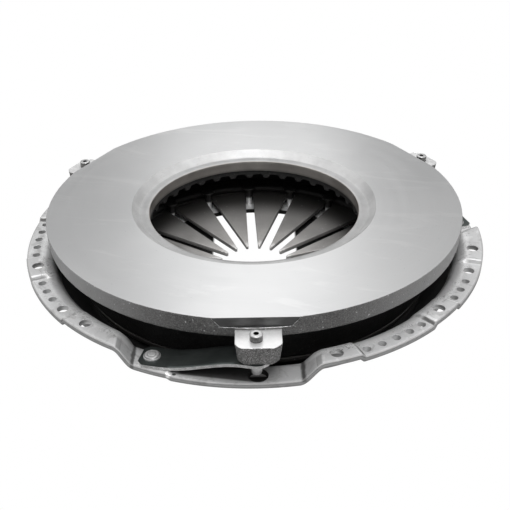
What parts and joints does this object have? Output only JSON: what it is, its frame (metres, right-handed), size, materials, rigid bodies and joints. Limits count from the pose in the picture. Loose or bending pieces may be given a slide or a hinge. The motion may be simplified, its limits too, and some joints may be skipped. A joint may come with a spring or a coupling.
{
  "type": "clutch pressure plate",
  "caption": "Diaphragm-spring clutch pressure plate: pressed steel cover, cast friction ring with lugs, leaf straps, fulcrum rings and a fingered conical spring.",
  "frame": {"origin": "clutch axis at the height of the bolt pads, the faces of the cover flange that seat on the flywheel", "axes": "+Z along the clutch axis towards the flywheel; +Y through the middle bolt hole of one group of three; the first lug lies 12.5 degrees round from -Y towards +X"},
  "size_m": [0.445, 0.445, 0.0838],
  "materials": {
    "cover_steel": "satin zinc-grey pressed sheet with rub marks",
    "cast_iron": "rough cast sides, ground friction face",
    "spring_steel": "dark oiled heat-treated spring steel",
    "wire_steel": "dark drawn wire",
    "rivet_dark": "dark phosphated",
    "strap_steel": "blue-grey tempered strip",
    "rivet_plated": "plated, worn bright on the crown"
  },
  "bodies": {
    "cover_assembly": {"cover": "cover_steel", "fulcrum_ring_flywheel_side": "wire_steel", "fulcrum_ring_cover_side": "wire_steel", "fulcrum_rivets": "rivet_dark", "strap_seat_rivets": "rivet_plated", "strap_a_leaf_1": "strap_steel", "strap_a_leaf_2": "strap_steel", "strap_a_leaf_3": "strap_steel", "strap_a_leaf_4": "strap_steel", "strap_b_leaf_1": "strap_steel", "strap_b_leaf_2": "strap_steel", "strap_b_leaf_3": "strap_steel", "strap_b_leaf_4": "strap_steel", "strap_c_leaf_1": "strap_steel", "strap_c_leaf_2": "strap_steel", "strap_c_leaf_3": "strap_steel", "strap_c_leaf_4": "strap_steel"},
    "pressure_plate": {"pressure_plate": "cast_iron", "strap_lug_rivets": "rivet_plated", "strap_lug_washers": "rivet_plated"},
    "diaphragm_spring": {"diaphragm_spring": "spring_steel"}
  },
  "joints": [
    {"name": "plate_travel", "type": "slide", "parent": "cover_assembly", "child": "pressure_plate", "axis": [0, 0, 1], "range_m": [-0.007, 0], "stiffness_N_per_m": 1000000, "springref_m": 0.001, "deforming": ["strap_a_leaf_1", "strap_a_leaf_2", "strap_a_leaf_3", "strap_a_leaf_4", "strap_b_leaf_1", "strap_b_leaf_2", "strap_b_leaf_3", "strap_b_leaf_4", "strap_c_leaf_1", "strap_c_leaf_2", "strap_c_leaf_3", "strap_c_leaf_4"]},
    {"name": "finger_travel", "type": "slide", "parent": "cover_assembly", "child": "diaphragm_spring", "axis": [0, 0, 1], "range_m": [0, 0.02926], "deforming": ["diaphragm_spring"]}
  ],
  "couplings": [
    {"joint": "finger_travel", "follows": "plate_travel", "ratio": -4.18}
  ]
}
